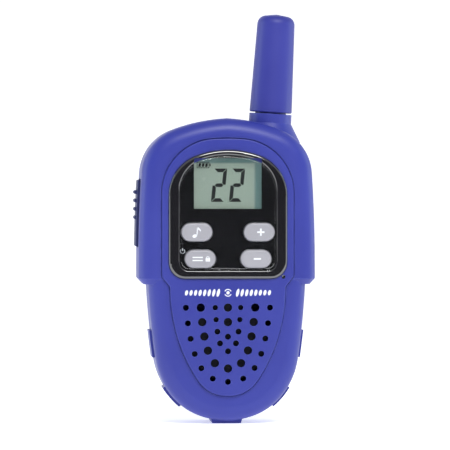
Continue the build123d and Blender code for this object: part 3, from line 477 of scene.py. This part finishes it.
stroke_row.links.new(laid.outputs["Geometry"], copies.inputs["Instance"])
stroke_row.links.new(joined_xyz(0.0, given.outputs["Lean"], 0.0), copies.inputs["Rotation"])
stroke_size = joined_xyz(given.outputs["Half Width"], given.outputs["Thickness"], shrunk)
stroke_row.links.new(stroke_size, copies.inputs["Scale"])
solid = stroke_row.nodes.new("GeometryNodeRealizeInstances")
coloured = stroke_row.nodes.new("GeometryNodeSetMaterial")
stroke_row.links.new(copies.outputs["Instances"], solid.inputs["Geometry"])
stroke_row.links.new(solid.outputs["Geometry"], coloured.inputs["Geometry"])
stroke_row.links.new(given.outputs["Ink"], coloured.inputs["Material"])
stroke_row.links.new(coloured.outputs["Geometry"], made.inputs["Geometry"])

panel_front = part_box("front_housing")[0].y / mm
band_level = 43.5
for side, name in ((1, "strokes_right"), (-1, "strokes_left")):
    host = bpy.data.objects.new(name + "_host", bpy.data.meshes.new(name + "_host"))
    bpy.context.scene.collection.objects.link(host)
    row = host.modifiers.new("strokes", "NODES")
    row.node_group = stroke_row
    sizes = {"Strokes": 8, "First": side * 3.2 * mm, "Pitch": side * 1.5 * mm, "Half Width": 0.5 * mm,
             "Half Height": 1.35 * mm, "Thickness": 0.03 * mm, "Lean": 0.24, "Taper": 0.94,
             "Depth": panel_front * mm, "Level": band_level * mm, "Ink": white_ink}
    for item in face.items_tree:
        if item.item_type == "SOCKET" and item.in_out == "INPUT":
            row[item.identifier] = sizes[item.name]
    bpy.context.view_layer.update()
    ready = host.evaluated_get(bpy.context.evaluated_depsgraph_get())
    piece = bpy.data.objects.new(name, bpy.data.meshes.new_from_object(ready))
    bpy.context.scene.collection.objects.link(piece)
    host.modifiers.remove(row)
    bpy.data.objects.remove(host)
    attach(piece, "housing")
badge = [round_blob(0, band_level, 0.55, 0.55), arc_band(0, band_level, 1.12, 0.3, 25, 155),
         arc_band(0, band_level, 1.12, 0.3, 205, 335)]
inked("band_dot", badge, panel_front - 0.015, 0.03, "housing", white_ink)

# ---- talk bar -----------------------------------------------------------------------------------
# A soft-touch dark bar let into the left side with four finger ribs. It rocks on a steel pin at its
# lower end and its nib pushes the side switch.
dress(finish("talk bar rubber", tone(24, 31, 84), tone(29, 37, 94), (0.48, 0.6), grain=2800, depth=0.006,
             edge=(tone(62, 70, 130), 0.3)), "talk_bar")
dress(plated_steel, "talk_pin")

# ---- battery bay --------------------------------------------------------------------------------
# Three AAA-size cells side by side between sprung and flat nickel contacts, under a blue door that
# hooks in at the top and is held at the bottom by a small lever on a steel pin.
sleeve = finish("cell sleeve", tone(36, 37, 42), tone(44, 45, 50), (0.22, 0.34), depth=0.001, coat=0.4)
tree = sleeve.node_tree
place = tree.nodes.new("ShaderNodeSeparateXYZ")
tree.links.new(tree.nodes.new("ShaderNodeTexCoord").outputs["Object"], place.inputs["Vector"])
cells_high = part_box("battery_cells")[1]
band = spanned(tree, place.outputs["Z"], 0.0, 1.0, cells_high.z - 11.4 * mm, cells_high.z - 11.2 * mm)
base = tree.nodes["Principled BSDF"].inputs["Base Color"]
tree.links.new(blended(tree, band, base.links[0].from_socket, tone(176, 124, 58)), base)
dress(sleeve, "battery_cells")
dress(plated_steel, "contact_springs", "contact_plates", "latch_pin")

# ---- belt clip and screws -----------------------------------------------------------------------
# The clip is one springy navy moulding that slides down over a T rail on the back. Four pan-head
# screws in deep wells close the case.
dress(finish("clip moulding", tone(34, 42, 110), tone(40, 48, 120), (0.36, 0.48), grain=3000, depth=0.006,
             edge=(tone(80, 90, 160), 0.35)), "belt_clip")
dress(plated_steel, "case_screws")

# ---- studio -------------------------------------------------------------------------------------
# A pale paper sweep, a broad light over the front, a softer one from each side and an even surround.
# The camera stands well back with a long lens, a little to the left and just above the middle.
sweep = bmesh.new()
profile = [(-6.0, 0.0), (3.0, 0.0)]
profile += [(3.0 + math.sin(a), 1.0 - math.cos(a)) for a in [math.pi / 2 * n / 24 for n in range(1, 25)]]
profile.append((4.0, 4.0))
edges = [[sweep.verts.new((x, y, z)) for y, z in profile] for x in (-6.0, 6.0)]
for n in range(len(profile) - 1):
    sweep.faces.new((edges[0][n], edges[1][n], edges[1][n + 1], edges[0][n + 1]))
mesh = bpy.data.meshes.new("paper_sweep")
sweep.to_mesh(mesh)
sweep.free()
for polygon in mesh.polygons:
    polygon.use_smooth = True
paper = bpy.data.objects.new("paper_sweep", mesh)
bpy.context.scene.collection.objects.link(paper)
pale_paper = finish("pale paper", tone(246, 247, 249), tone(250, 250, 252), (0.8, 0.9), grain=400, drift=3)
glow = pale_paper.node_tree.nodes["Principled BSDF"].inputs
pale_paper.node_tree.links.new(glow["Base Color"].links[0].from_socket, glow["Emission Color"])
glow["Emission Strength"].default_value = 0.55
mesh.materials.append(pale_paper)

world = bpy.data.worlds.new("surround")
world.use_nodes = True
surround = world.node_tree.nodes["Background"].inputs
surround["Color"].default_value = (0.93, 0.96, 1.0, 1.0)
surround["Strength"].default_value = 0.46
bpy.context.scene.world = world
bpy.context.scene.view_settings.view_transform = "Standard"


def softbox(name, place, target, wide, tall, power, colour=(1.0, 1.0, 1.0)):
    """A soft rectangular light aimed at a point."""
    lamp = bpy.data.lights.new(name, "AREA")
    lamp.shape = "RECTANGLE"
    lamp.size, lamp.size_y = wide, tall
    lamp.energy = power
    lamp.color = colour
    light = bpy.data.objects.new(name, lamp)
    light.location = place
    light.rotation_euler = (Vector(target) - Vector(place)).to_track_quat("-Z", "Y").to_euler()
    bpy.context.scene.collection.objects.link(light)


middle = Vector((0.0, 0.0, 0.0656))
softbox("front_light", (0.1, -0.6, 0.72), middle, 0.5, 0.3, 5.0)
softbox("left_light", (-0.8, 0.16, 0.2), middle, 0.16, 0.7, 1.7, (0.78, 0.95, 1.0))
softbox("right_light", (0.8, 0.16, 0.2), middle, 0.16, 0.7, 1.7, (0.78, 0.95, 1.0))

# A black card in front, seen only in reflections, keeps the polished window dark.
card_mesh = bpy.data.meshes.new("black_card")
card_corners = [(-0.5, -0.5, 0.0), (0.5, -0.5, 0.0), (0.5, -0.5, 0.24), (-0.5, -0.5, 0.24)]
card_mesh.from_pydata(card_corners, [], [(0, 1, 2, 3)])
card = bpy.data.objects.new("black_card", card_mesh)
bpy.context.scene.collection.objects.link(card)
card_mesh.materials.append(finish("black card", tone(8, 8, 9), tone(12, 12, 13), (0.9, 0.95), grain=500))
card.visible_camera = card.visible_diffuse = card.visible_shadow = False

camera = bpy.data.objects.new("camera", bpy.data.cameras.new("camera"))
camera.data.lens = 300.0
camera.data.sensor_width = 36.0
away, turn, rise = 1.25, math.radians(4.0), math.radians(1.0)
camera.location = middle + away * Vector((-math.sin(turn) * math.cos(rise), -math.cos(turn) * math.cos(rise),
                                          math.sin(rise)))
camera.rotation_euler = (middle - camera.location).to_track_quat("-Z", "Y").to_euler()
bpy.context.scene.collection.objects.link(camera)
bpy.context.scene.camera = camera
